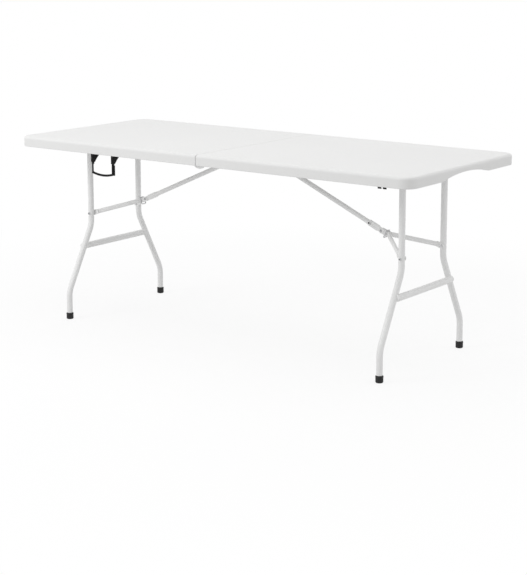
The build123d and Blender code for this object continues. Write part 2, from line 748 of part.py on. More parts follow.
# Lock ring round the tongue's tail and both cheeks. Its top bar lies just over the cheeks.
ring_front = ring_seat + ring_wire / 2
ring_corner_radius = ring_half_width - cheek_outer
ring_rise = ring_front * tan(knuckle_angle) + cheek_half / cos(knuckle_angle) + side_play
ring_plane = Plane(
    origin=knuckle + strut_direction * (ring_seat - ring_wire / 2),
    x_dir=across,
    z_dir=strut_direction,
)
with BuildPart() as lock_ring:
    with BuildSketch(ring_plane):
        with Locations((0, (ring_rise - ring_drop) / 2)):
            RectangleRounded(
                2 * (ring_half_width + ring_wire),
                ring_rise + ring_drop + 2 * ring_wire,
                ring_corner_radius + ring_wire,
            )
            RectangleRounded(
                2 * ring_half_width,
                ring_rise + ring_drop,
                ring_corner_radius,
                mode=Mode.SUBTRACT,
            )
    extrude(amount=ring_wire)
    fillet(lock_ring.edges(), ring_wire * 0.4)
keep_pair(lock_ring.part, "lock_ring")

# Handle brackets, screwed up into the recess behind the front rim of the left half
bracket_heel = bracket_face + bracket_foot
bracket_back = bracket_face + bracket_depth
bracket_bottom = rim_bottom - bracket_drop
curve_inset = bracket_drop / 20
for bracket_name, end in (("outer", -1), ("inner", 1)):
    bracket_x = handle_x + end * handle_half
    with BuildPart() as handle_bracket:
        with BuildSketch(Plane.YZ.offset(bracket_x - bracket_width / 2)) as side:
            with BuildLine():
                Polyline(
                    (bracket_back, rim_bottom),
                    (bracket_back, ceiling),
                    (bracket_face, ceiling),
                    (bracket_face, bracket_bottom),
                    (bracket_heel, bracket_bottom),
                )
                ThreePointArc(
                    (bracket_heel, bracket_bottom),
                    (
                        (bracket_heel + bracket_back) / 2 - curve_inset,
                        (bracket_bottom + rim_bottom) / 2 + curve_inset,
                    ),
                    (bracket_back, rim_bottom),
                )
            make_face()
            fillet(side.vertices().group_by(Axis.Y)[0], bracket_round)
        extrude(amount=bracket_width)
        with Locations((bracket_x, bracket_flange_y, ceiling)):
            Box(
                bracket_width + 2 * bracket_flange_reach,
                bracket_flange_depth,
                bracket_flange,
                align=(Align.CENTER, Align.CENTER, Align.MAX),
            )
        with Locations((bracket_x, bracket_flange_y, bail_pivot[1] + bail_eye_radius + bail_play)):
            Box(
                bracket_slot,
                2 * bracket_depth,
                bracket_drop,
                align=(Align.CENTER, Align.CENTER, Align.MAX),
                mode=Mode.SUBTRACT,
            )
        with Locations(Plane(origin=(bracket_x, *bail_pivot), z_dir=(1, 0, 0))):
            Cylinder(bail_pin_diameter / 2 + running_clearance, 2 * bracket_width, mode=Mode.SUBTRACT)
        with Locations(*[(x, y, ceiling) for x, y, z in bracket_screw_seats]):
            Cylinder(screw_radius, 4 * bracket_flange, mode=Mode.SUBTRACT)
    keep(handle_bracket.part, f"handle_{bracket_name}_bracket")
keep(screw_group(bracket_screw_seats), "handle_screws")

# Swinging bail: a bowed grip between two flat arms that stand at an angle to it. A tab at the
# top of each arm carries a moulded pin.
arm_x = handle_half + handle_flare
arm_top = bail_pivot[1] - bail_arm_start
grip_end = bail_pivot[1] - handle_reach + handle_bow
with BuildPart() as handle_bail:
    with BuildLine(Plane.XZ.offset(-bail_pivot[0])) as grip_line:
        ThreePointArc(
            (handle_x - arm_x, grip_end),
            (handle_x, bail_pivot[1] - handle_reach),
            (handle_x + arm_x, grip_end),
        )
    with BuildSketch(Plane(origin=grip_line.line @ 0, x_dir=across, z_dir=grip_line.line % 0)):
        Circle(bail_diameter / 2)
    sweep()
    for end in (-1, 1):
        with Locations((handle_x + end * arm_x, bail_pivot[0], grip_end)):
            Sphere(bail_diameter / 2)
        with BuildSketch(Plane.XY.offset(arm_top)):
            with Locations((handle_x + end * arm_x, bail_pivot[0])):
                SlotOverall(bail_arm_width, bail_arm_gauge, rotation=end * bail_arm_turn)
        extrude(amount=grip_end - bail_diameter / 2 - arm_top)
        with Locations((handle_x + end * handle_half, *bail_pivot)):
            Box(
                bail_eye_width,
                2 * bail_eye_radius,
                bail_tab,
                align=(Align.CENTER, Align.CENTER, Align.MAX),
            )
        with Locations(Plane(origin=(handle_x + end * handle_half, *bail_pivot), z_dir=(1, 0, 0))):
            Cylinder(bail_eye_radius, bail_eye_width)
            Cylinder(bail_pin_diameter / 2, bracket_width)
keep(handle_bail.part, "handle_bail")

# Latch clip with two prongs, on the inner side of the front rim of the right half
latch_foot = rim_bottom
with BuildPart() as latch_clip:
    with Locations((latch_x, -recess_y, latch_foot)):
        Box(latch_width, latch_depth, latch_height, align=(Align.CENTER, Align.MIN, Align.MIN))
    prong_shift = (latch_width - prong_width) / 2
    with BuildSketch(Plane.YZ.offset(latch_x - prong_shift - prong_width / 2)):
        with BuildLine():
            Polyline(
                (-recess_y, latch_foot),
                (-recess_y, latch_foot - prong_length + prong_nose),
                (prong_nose - recess_y, latch_foot - prong_length),
                (prong_depth - recess_y, latch_foot - prong_length),
                (prong_depth + prong_nose - recess_y, latch_foot - prong_length + prong_nose),
                (prong_depth - recess_y, latch_foot - prong_length + 2 * prong_nose),
                (prong_depth - recess_y, latch_foot),
                close=True,
            )
        make_face()
    extrude(amount=prong_width)
    mirror(about=Plane.YZ.offset(latch_x))
keep(latch_clip.part, "latch_clip")

# Catch with a pocket for the prongs, at the same place on the left half
catch_width = latch_width + 2 * (catch_wall + catch_play)
catch_depth = prong_depth + prong_nose + catch_wall + catch_play
with BuildPart() as latch_catch:
    with Locations((-latch_x, -recess_y, latch_foot)):
        Box(catch_width, catch_depth, latch_height, align=(Align.CENTER, Align.MIN, Align.MIN))
        Box(
            latch_width + 2 * catch_play,
            catch_depth - catch_wall,
            prong_length + 2 * catch_play,
            align=(Align.CENTER, Align.MIN, Align.MIN),
            mode=Mode.SUBTRACT,
        )
keep(latch_catch.part, "latch_catch")

# Pivots of the linkage, for the joints
print("leg axle", axle_x, axle_z)
print("leg pivot", leg_pivot)
print("strut pivot", strut_pivot)
print("knuckle", knuckle)
print("strut direction", strut_direction, "length", strut_reach)
print("fork direction", fork_direction, "length", fork_reach)
folded_fork = (folded_pivot - folded_knuckle).normalized()
print("folded strut", folded_direction, "folded fork", folded_fork)
print("leg turn", 90 + leg_lean - fold_short)
print("strut turn", strut_direction.get_angle(folded_direction))
print("fork turn", fork_direction.get_angle(folded_fork))
print("bail pivot", handle_x, bail_pivot)
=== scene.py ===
"""Finishes, small hardware and studio for a moulded table that folds in half."""

import json
import math

import bmesh
import bpy
from bpy.props import FloatProperty, FloatVectorProperty, PointerProperty
from bpy.types import Operator, Panel, PropertyGroup
from mathutils import Matrix, Vector


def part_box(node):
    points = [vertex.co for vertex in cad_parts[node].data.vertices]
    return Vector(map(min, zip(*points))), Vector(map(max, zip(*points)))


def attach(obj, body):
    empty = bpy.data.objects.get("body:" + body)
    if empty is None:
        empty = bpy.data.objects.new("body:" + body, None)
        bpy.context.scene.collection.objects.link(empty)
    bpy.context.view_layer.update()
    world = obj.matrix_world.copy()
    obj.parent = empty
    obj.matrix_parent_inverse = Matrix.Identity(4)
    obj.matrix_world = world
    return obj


bl_info = {
    "name": "Folding Table",
    "version": (1, 0, 0),
    "blender": (4, 5, 0),
    "location": "View3D > Sidebar > Table",
    "description": "Dresses a moulded folding table and sets up its studio",
    "category": "Object",
}

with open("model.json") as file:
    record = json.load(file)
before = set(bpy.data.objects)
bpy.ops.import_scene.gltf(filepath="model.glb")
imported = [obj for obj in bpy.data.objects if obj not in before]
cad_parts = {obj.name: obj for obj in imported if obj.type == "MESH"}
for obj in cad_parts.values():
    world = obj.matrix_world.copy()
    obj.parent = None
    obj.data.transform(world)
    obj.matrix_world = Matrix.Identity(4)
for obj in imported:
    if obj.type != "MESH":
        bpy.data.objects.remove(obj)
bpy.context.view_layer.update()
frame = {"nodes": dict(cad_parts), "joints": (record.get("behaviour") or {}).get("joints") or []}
nodes = frame["nodes"]
joints = {joint["name"]: joint for joint in frame["joints"]}

SIDES = ("left", "right")
ENDS = ("front", "rear")
LAMPS = ("top", "key", "fill")
MM = 0.001
MERGE_DISTANCE = 1e-7
SHARP_ANGLE = math.radians(35.0)
WHITE = (1.0, 1.0, 1.0, 1.0)
UP = (0.0, 0.0, 1.0)
DOWN = (0.0, 0.0, -1.0)

STEEL_NODES = [
    f"{side}_{name}"
    for side in SIDES
    for name in (
        "front_rail", "rear_rail", "front_axle_block", "rear_axle_block", "strut_anchor",
        "leg_axle", "front_leg", "rear_leg", "lower_brace", "strut",
        "front_fork_arm", "rear_fork_arm",
    )
] + [f"{end}_hinge_{side}_leaf" for end in ENDS for side in SIDES]
PLATED_NODES = [
    f"{side}_{name}"
    for side in SIDES
    for name in (
        "rail_screws", "axle_block_screws", "anchor_screws", "strut_pin", "leaf_rivets",
        "leg_rivets", "knuckle_pin", "fork_rivets", "lock_ring",
    )
] + ["front_hinge_pin", "rear_hinge_pin", "handle_screws"]
BLACK_NODES = [
    "handle_bail", "handle_outer_bracket", "handle_inner_bracket", "latch_clip", "latch_catch",
]
FOOT_NODES = [f"{side}_{end}_foot" for side in SIDES for end in ENDS]
TOP_NODES = [f"{side}_top" for side in SIDES]
SCREW_COLUMNS = {"rail_screws": 3, "axle_block_screws": 2, "anchor_screws": 2}


class TableFinishes(PropertyGroup):
    """Colours of the table's finishes."""

    moulding_colour: FloatVectorProperty(
        name="Moulding", description="Colour of the moulded half tops",
        subtype="COLOR", size=3, min=0.0, max=1.0, default=(0.83, 0.83, 0.825),
    )
    coat_colour: FloatVectorProperty(
        name="Powder coat", description="Colour of the coated steel tubes and plates",
        subtype="COLOR", size=3, min=0.0, max=1.0, default=(0.9, 0.9, 0.897),
    )
    plated_colour: FloatVectorProperty(
        name="Plated steel", description="Colour of the pins, rivets, screws and lock rings",
        subtype="COLOR", size=3, min=0.0, max=1.0, default=(0.56, 0.56, 0.57),
    )
    black_colour: FloatVectorProperty(
        name="Black plastic", description="Colour of the handle and the latch",
        subtype="COLOR", size=3, min=0.0, max=1.0, default=(0.003, 0.003, 0.0032),
    )
    foot_colour: FloatVectorProperty(
        name="Foot caps", description="Colour of the foot caps",
        subtype="COLOR", size=3, min=0.0, max=1.0, default=(0.02, 0.02, 0.0205),
    )


class TableHardware(PropertyGroup):
    """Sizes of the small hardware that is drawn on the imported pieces."""

    head_radius: FloatProperty(
        name="Small head", description="Radius of the screw heads and of the small pin heads",
        unit="LENGTH", default=4.5 * MM, min=0.0,
    )
    rivet_radius: FloatProperty(
        name="Rivet head", description="Radius of the heads of the leg and knuckle rivets",
        unit="LENGTH", default=5.0 * MM, min=0.0,
    )
    dome_height: FloatProperty(
        name="Dome", description="Height of the heads over their flat seats",
        unit="LENGTH", default=1.1 * MM, min=0.0,
    )
    # The foot of each bore is filled with a black disc, which is painted shade.
    bore_radius: FloatProperty(
        name="Rivet bore", description="Radius of the dark bore in the heads of the large rivets",
        unit="LENGTH", default=2.2 * MM, min=0.0,
    )
    bracket_screw_pitch: FloatProperty(
        name="Bracket screws", description="Distance between the two screws of a handle bracket",
        unit="LENGTH", default=24.2 * MM, min=0.0,
    )
    leaf_head_reach: FloatProperty(
        name="Leaf rivets", description="Distance of the leaf rivets' heads from the rail's outer face",
        unit="LENGTH", default=3.1 * MM, min=0.0,
    )
    # The strut's plug is a black piece set in the strut's hole as painted shade.
    shade_plug_setback: FloatProperty(
        name="Strut plug", description="Distance of the strut's plug from the knuckle",
        unit="LENGTH", default=56.5 * MM, min=0.0,
    )
    shade_plug_seat: FloatProperty(
        name="Plug seat", description="Distance of the seat of the strut's plug from the mid plane",
        unit="LENGTH", default=8.0 * MM, min=0.0,
    )
    shade_plug_radius: FloatProperty(
        name="Plug radius", description="Radius of the plug in the strut's hole",
        unit="LENGTH", default=3.6 * MM, min=0.0,
    )
    axle_overhang: FloatProperty(
        name="Axle overhang", description="Length of the axle outside the leg tube",
        unit="LENGTH", default=11.0 * MM, min=0.0,
    )
    leg_diameter: FloatProperty(
        name="Leg tube", description="Diameter of the leg tubes",
        unit="LENGTH", default=23.0 * MM, min=0.0,
    )
    weld_radius: FloatProperty(
        name="Weld bead", description="Radius of the weld beads round the leg axles",
        unit="LENGTH", default=1.5 * MM, min=0.0,
    )
    weld_stand: FloatProperty(
        name="Weld stand", description="Distance of a weld bead's middle from the axle's surface",
        unit="LENGTH", default=0.6 * MM, min=0.0,
    )
    foot_bead_drop: FloatProperty(
        name="Foot bead", description="Distance of a foot cap's bead below its upper edge",
        unit="LENGTH", default=4.0 * MM, min=0.0,
    )
    foot_bead_width: FloatProperty(
        name="Foot bead width", description="Width of a foot cap's bead",
        unit="LENGTH", default=3.0 * MM, min=0.0,
    )
    foot_bead_rise: FloatProperty(
        name="Foot bead rise", description="Height of the bead's crest over the foot cap's side",
        unit="LENGTH", default=0.6 * MM, min=0.0,
    )
    foot_bead_lip: FloatProperty(
        name="Foot bead lip", description="Height of the bead's edges over the foot cap's side",
        unit="LENGTH", default=0.1 * MM, min=0.0,
    )
    foot_bead_ease: FloatProperty(
        name="Foot bead ease", description="Width of the slopes from the bead's edges to its crest",
        unit="LENGTH", default=0.6 * MM, min=0.0,
    )
    foot_bead_root: FloatProperty(
        name="Foot bead root", description="Depth of the bead's root in the foot cap",
        unit="LENGTH", default=2.0 * MM, min=0.0,
    )


class TableStudio(PropertyGroup):
    """Camera, floor and light."""

    camera_place: FloatVectorProperty(
        name="Camera", description="Place of the camera",
        subtype="TRANSLATION", unit="LENGTH", size=3, default=(3.30324, -4.3805, 1.47654),
    )
    camera_azimuth: FloatProperty(
        name="Azimuth", description="Angle of the view round the table",
        subtype="ANGLE", default=math.radians(36.77),
    )
    camera_elevation: FloatProperty(
        name="Elevation", description="Angle of the view above the horizon",
        subtype="ANGLE", default=math.radians(13.29),
    )
    lens: FloatProperty(
        name="Lens", description="Focal length of the camera",
        unit="CAMERA", default=91.0, min=10.0,
    )
    sensor: FloatProperty(
        name="Sensor", description="Long side of the camera's sensor",
        unit="CAMERA", default=36.0, min=1.0,
    )
    sight: FloatProperty(
        name="Sight", description="Distance up to which the camera sees",
        unit="LENGTH", default=200.0, min=1.0,
    )
    top_power: FloatProperty(
        name="Top lamp", description="Power of the large lamp overhead",
        subtype="POWER", default=45.0, min=0.0,
    )
    top_size: FloatProperty(
        name="Top lamp size", description="Side of the large lamp overhead",
        unit="LENGTH", default=4.5, min=0.0,
    )
    top_place: FloatVectorProperty(
        name="Top lamp place", description="Place of the large lamp overhead",
        subtype="TRANSLATION", unit="LENGTH", size=3, default=(0.3, 0.0, 4.2),
    )
    top_target: FloatVectorProperty(
        name="Top lamp target", description="Point that the large lamp overhead faces",
        subtype="TRANSLATION", unit="LENGTH", size=3, default=(0.3, 0.0, 0.7),
    )
    key_power: FloatProperty(
        name="Key lamp", description="Power of the high lamp at the front left",
        subtype="POWER", default=61.0, min=0.0,
    )
    key_size: FloatProperty(
        name="Key lamp size", description="Side of the high lamp at the front left",
        unit="LENGTH", default=1.8, min=0.0,
    )
    key_place: FloatVectorProperty(
        name="Key lamp place", description="Place of the high lamp at the front left",
        subtype="TRANSLATION", unit="LENGTH", size=3, default=(-2.2, -3.8, 2.8),
    )
    key_target: FloatVectorProperty(
        name="Key lamp target", description="Point that the high lamp at the front left faces",
        subtype="TRANSLATION", unit="LENGTH", size=3, default=(-0.2, 0.0, 0.5),
    )
    fill_power: FloatProperty(
        name="Fill lamp", description="Power of the low lamp at the rear right",
        subtype="POWER", default=12.0, min=0.0,
    )
    fill_size: FloatProperty(
        name="Fill lamp size", description="Side of the low lamp at the rear right",
        unit="LENGTH", default=2.0, min=0.0,
    )
    fill_place: FloatVectorProperty(
        name="Fill lamp place", description="Place of the low lamp at the rear right",
        subtype="TRANSLATION", unit="LENGTH", size=3, default=(3.8, 1.7, 1.4),
    )
    fill_target: FloatVectorProperty(
        name="Fill lamp target", description="Point that the low lamp at the rear right faces",
        subtype="TRANSLATION", unit="LENGTH", size=3, default=(0.6, 0.0, 0.5),
    )
    sky_level: FloatProperty(
        name="Sky", description="Level of the even light from all round", default=0.62, min=0.0,
    )
    floor_reach: FloatProperty(
        name="Floor", description="Distance from the floor's middle to its edges",
        unit="LENGTH", default=40.0, min=0.0,
    )
    floor_bounce: FloatProperty(
        name="Floor bounce", description="Share of the light that the floor sends back",
        subtype="FACTOR", default=0.74, min=0.0, max=1.0,
    )
    shadow_share: FloatProperty(
        name="Shadow share", description="Share of the floor's own shading near the table",
        subtype="FACTOR", default=0.16, min=0.0, max=1.0,
    )
    shadow_near: FloatProperty(
        name="Shadow near", description="Distance at which the floor's shading starts to fade",
        unit="LENGTH", default=1.1, min=0.0,
    )
    shadow_far: FloatProperty(
        name="Shadow far", description="Distance at which the floor's shading has faded out",
        unit="LENGTH", default=2.4, min=0.0,
    )


def group_socket(tree, name, kind, way, value=None):
    """Add one socket to a node group."""
    socket = tree.interface.new_socket(name, in_out=way, socket_type=kind)
    if value is not None:
        socket.default_value = value


def grain_group():
    """Fine surface grain, as a bumped normal."""
    tree = bpy.data.node_groups.new("fine_grain", "ShaderNodeTree")
    group_socket(tree, "Scale", "NodeSocketFloat", "INPUT", 600.0)
    group_socket(tree, "Depth", "NodeSocketFloat", "INPUT", 0.0001)
    group_socket(tree, "Normal", "NodeSocketVector", "OUTPUT")
    given = tree.nodes.new("NodeGroupInput")
    result = tree.nodes.new("NodeGroupOutput")
    place = tree.nodes.new("ShaderNodeTexCoord")
    noise = tree.nodes.new("ShaderNodeTexNoise")
    noise.inputs["Detail"].default_value = 2.0
    noise.inputs["Roughness"].default_value = 0.55
    bump = tree.nodes.new("ShaderNodeBump")
    link = tree.links.new
    link(place.outputs["Object"], noise.inputs["Vector"])
    link(given.outputs["Scale"], noise.inputs["Scale"])
    link(noise.outputs["Fac"], bump.inputs["Height"])
    link(given.outputs["Depth"], bump.inputs["Distance"])
    link(bump.outputs["Normal"], result.inputs["Normal"])


def drift_group():
    """Slow and middling drift of a colour's tone."""
    tree = bpy.data.node_groups.new("tone_drift", "ShaderNodeTree")
    group_socket(tree, "Colour", "NodeSocketColor", "INPUT", (0.8, 0.8, 0.8, 1.0))
    group_socket(tree, "Amount", "NodeSocketFloat", "INPUT", 0.02)
    group_socket(tree, "Scale", "NodeSocketFloat", "INPUT", 3.0)
    group_socket(tree, "Colour", "NodeSocketColor", "OUTPUT")
    given = tree.nodes.new("NodeGroupInput")
    result = tree.nodes.new("NodeGroupOutput")
    place = tree.nodes.new("ShaderNodeTexCoord")
    noise = tree.nodes.new("ShaderNodeTexNoise")
    noise.inputs["Detail"].default_value = 5.0
    noise.inputs["Roughness"].default_value = 0.5
    centre = tree.nodes.new("ShaderNodeMath")
    centre.operation = "SUBTRACT"
    centre.inputs[1].default_value = 0.5
    swing = tree.nodes.new("ShaderNodeMath")
    swing.operation = "MULTIPLY_ADD"
    swing.inputs[2].default_value = 1.0
    tone = tree.nodes.new("ShaderNodeHueSaturation")
    link = tree.links.new
    link(place.outputs["Object"], noise.inputs["Vector"])
    link(given.outputs["Scale"], noise.inputs["Scale"])
    link(noise.outputs["Fac"], centre.inputs[0])
    link(centre.outputs[0], swing.inputs[0])
    link(given.outputs["Amount"], swing.inputs[1])
    link(swing.outputs[0], tone.inputs["Value"])
    link(given.outputs["Colour"], tone.inputs["Color"])
    link(tone.outputs["Color"], result.inputs["Colour"])


def scuff_group():
    """Roughness with faint long scuffs over it."""
    tree = bpy.data.node_groups.new("scuffs", "ShaderNodeTree")
    group_socket(tree, "Roughness", "NodeSocketFloat", "INPUT", 0.5)
    group_socket(tree, "Amount", "NodeSocketFloat", "INPUT", 0.1)
    group_socket(tree, "Scale", "NodeSocketFloat", "INPUT", 20.0)
    group_socket(tree, "Roughness", "NodeSocketFloat", "OUTPUT")
    given = tree.nodes.new("NodeGroupInput")
    result = tree.nodes.new("NodeGroupOutput")
    place = tree.nodes.new("ShaderNodeTexCoord")
    stretch = tree.nodes.new("ShaderNodeMapping")
    stretch.inputs["Scale"].default_value = (1.0, 6.0, 6.0)
    stretch.inputs["Rotation"].default_value = (0.0, 0.0, 0.4)
    noise = tree.nodes.new("ShaderNodeTexNoise")
    noise.inputs["Detail"].default_value = 4.0
    reach = tree.nodes.new("ShaderNodeMapRange")
    reach.inputs["From Min"].default_value = 0.45
    reach.inputs["From Max"].default_value = 0.75
    total = tree.nodes.new("ShaderNodeMath")
    total.operation = "MULTIPLY_ADD"
    link = tree.links.new
    link(place.outputs["Object"], stretch.inputs["Vector"])
    link(stretch.outputs["Vector"], noise.inputs["Vector"])
    link(given.outputs["Scale"], noise.inputs["Scale"])
    link(noise.outputs["Fac"], reach.inputs["Value"])
    link(reach.outputs["Result"], total.inputs[0])
    link(given.outputs["Amount"], total.inputs[1])
    link(given.outputs["Roughness"], total.inputs[2])
    link(total.outputs[0], result.inputs["Roughness"])


def placed_group(tree, group, values):
    """Place a shared node group in a material, with its own values."""
    node = tree.nodes.new("ShaderNodeGroup")
    node.node_tree = bpy.data.node_groups[group]
    for name, value in values.items():
        node.inputs[name].default_value = value
    return node


def finish(name, colour, drift, grain, scuff, metal=0.0, specular=0.5):
    """A finish made from the shared groups.

    drift is (amount, scale), grain is (scale, depth) and scuff is (roughness, amount, scale).
    """
    material = bpy.data.materials.new(name)
    material.use_nodes = True
    tree = material.node_tree
    shader = tree.nodes["Principled BSDF"]
    shader.inputs["Metallic"].default_value = metal
    shader.inputs["Specular IOR Level"].default_value = specular
    tone = placed_group(tree, "tone_drift", {
        "Colour": (*colour, 1.0), "Amount": drift[0], "Scale": drift[1],
    })
    skin = placed_group(tree, "fine_grain", {"Scale": grain[0], "Depth": grain[1]})
    worn = placed_group(tree, "scuffs", {
        "Roughness": scuff[0], "Amount": scuff[1], "Scale": scuff[2],
    })
    tree.links.new(tone.outputs["Colour"], shader.inputs["Base Color"])
    tree.links.new(skin.outputs["Normal"], shader.inputs["Normal"])
    tree.links.new(worn.outputs["Roughness"], shader.inputs["Roughness"])
    return material


def assign(names, material):
    """Give CAD nodes a finish."""
    for name in names:
        data = nodes[name].data
        data.materials.clear()
        data.materials.append(material)


class TABLE_OT_finishes(Operator):
    """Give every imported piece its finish"""

    bl_idname = "table.finishes"
    bl_label = "Finishes"

    def execute(self, context):
        look = context.scene.table_finishes
        grain_group()
        drift_group()
        scuff_group()
        assign(TOP_NODES, finish(
            "satin_moulding", look.moulding_colour,
            drift=(0.03, 2.5), grain=(700.0, 0.12 * MM), scuff=(0.5, 0.1, 14.0), specular=0.3,
        ))
        assign(STEEL_NODES, finish(
            "powder_coat", look.coat_colour,
            drift=(0.06, 9.0), grain=(900.0, 0.1 * MM), scuff=(0.4, 0.12, 30.0), specular=0.4,
        ))
        assign(PLATED_NODES, finish(
            "plated_steel", look.plated_colour,
            drift=(0.2, 60.0), grain=(1500.0, 0.04 * MM), scuff=(0.28, 0.2, 80.0), metal=1.0,
        ))
        assign(BLACK_NODES, finish(
            "black_plastic", look.black_colour,
            drift=(0.3, 40.0), grain=(1200.0, 0.15 * MM), scuff=(0.5, 0.15, 60.0), specular=0.16,
        ))
        assign(FOOT_NODES, finish(
            "foot_plastic", look.foot_colour,
            drift=(0.5, 50.0), grain=(1000.0, 0.2 * MM), scuff=(0.55, 0.2, 70.0), specular=0.3,
        ))
        return {"FINISHED"}


def corners(node, inset=0.0):
    """Lowest and highest corner of a node, drawn in by an inset in X and Y."""
    low, high = (Vector(corner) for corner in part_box(node))
    shrink = Vector((inset, inset, 0.0))
    return low + shrink, high - shrink


def aim(place, direction):
    """Matrix that takes a piece drawn along +Z to a place, along a direction."""
    turn = Vector(direction).to_track_quat("Z", "Y").to_matrix().to_4x4()
    return Matrix.Translation(place) @ turn


def vertices(geometry):
    """The vertices among some geometry."""
    return [item for item in geometry if isinstance(item, bmesh.types.BMVert)]


def edges_between(shape, verts):
    """The edges of a shape that run from one of some vertices to another."""
    ring = set(verts)
    return [edge for edge in shape.edges if ring.issuperset(edge.verts)]


def spun(profile, steps=24):
    """A shape made by turning a profile of (radius, height) points about Z."""
    shape = bmesh.new()
    verts = [shape.verts.new((radius, 0.0, height)) for radius, height in profile]
    edges = [shape.edges.new(pair) for pair in zip(verts, verts[1:])]
    bmesh.ops.spin(
        shape, geom=verts + edges, cent=(0.0, 0.0, 0.0), axis=UP,
        angle=math.tau, steps=steps, use_merge=True,
    )
    bmesh.ops.remove_doubles(shape, verts=shape.verts[:], dist=MERGE_DISTANCE)
    return shape


def repeat(shape, places):
    """Move what is drawn at the origin to the first place, and copies of it to the others."""
    first = shape.verts[:] + shape.edges[:] + shape.faces[:]
    for place in places[1:]:
        copy = bmesh.ops.duplicate(shape, geom=first)["geom"]
        bmesh.ops.transform(shape, matrix=place, verts=vertices(copy))
    bmesh.ops.transform(shape, matrix=places[0], verts=vertices(first))


def piece(name, shape, body, material):
    """Finish a drawn shape as a piece that rides on a body."""
    bmesh.ops.recalc_face_normals(shape, faces=shape.faces[:])
    mesh = bpy.data.meshes.new(name)
    shape.to_mesh(mesh)
    shape.free()
    mesh.shade_smooth()
    mesh.set_sharp_from_angle(angle=SHARP_ANGLE)
    mesh.materials.append(bpy.data.materials[material])
    made = bpy.data.objects.new(name, mesh)
    bpy.context.scene.collection.objects.link(made)
    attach(made, body)


class TABLE_OT_screw_heads(Operator):
    """Draw cross-recessed pan heads on the screws under the table"""

    bl_idname = "table.screw_heads"
    bl_label = "Screw Heads"

    def lowered(self, shape, loop, drop, widen=1.0):
        """Extrude a loop of edges downwards, widen it, and return its edges."""
        verts = vertices(bmesh.ops.extrude_edge_only(shape, edges=loop)["geom"])
        bmesh.ops.scale(shape, verts=verts, vec=(widen, widen, 1.0))
        bmesh.ops.translate(shape, verts=verts, vec=(0.0, 0.0, -drop))
        return edges_between(shape, verts)

    def head(self, radius, height):
        """A pan head along +Z, with a cross cut through its crown down to its seat."""
        crown, arm, half = 0.8 * radius, 0.56 * radius, 0.13 * radius
        slope, wall = 0.45 * height, 0.75 * height
        shape = bmesh.new()
        quarter = [(arm, -half), (arm, half), (half, half)]
        cross = []
        for turn in range(4):
            spin = Matrix.Rotation(turn * math.pi / 2, 2)
            cross += [shape.verts.new((*(spin @ Vector(point)), height)) for point in quarter]
        hole = [shape.edges.new(pair) for pair in zip(cross, cross[1:] + cross[:1])]
        rim = bmesh.ops.create_circle(shape, segments=24, radius=crown)["verts"]
        bmesh.ops.translate(shape, verts=rim, vec=(0.0, 0.0, height))
        brow = edges_between(shape, rim)
        bmesh.ops.bridge_loops(shape, edges=hole + brow)
        shoulder = self.lowered(shape, brow, slope, widen=radius / crown)
        foot = self.lowered(shape, shoulder, wall)
        floor = self.lowered(shape, hole, slope + wall)
        bmesh.ops.bridge_loops(shape, edges=floor + foot)
        return shape

    def execute(self, context):
        sizes = context.scene.table_hardware
        radius, height = sizes.head_radius, sizes.dome_height
        groups = []
        for side in SIDES:
            for name, columns in SCREW_COLUMNS.items():
                low, high = corners(f"{side}_{name}", radius)
                places = [
                    (low.x + (high.x - low.x) * column / (columns - 1), y, low.z)
                    for column in range(columns)
                    for y in (low.y, high.y)
                ]
                groups.append((f"{side}_{name}", f"{side}_half", places))
        low, high = corners("handle_screws", radius)
        pitch = sizes.bracket_screw_pitch
        line = (low.x, low.x + pitch, high.x - pitch, high.x)
        groups.append(("handle_screws", "left_half", [(x, low.y, low.z) for x in line]))
        for name, body, places in groups:
            shape = self.head(radius, height)
            repeat(shape, [aim(place, DOWN) for place in places])
            piece(f"{name}_heads", shape, body, "plated_steel")
        return {"FINISHED"}


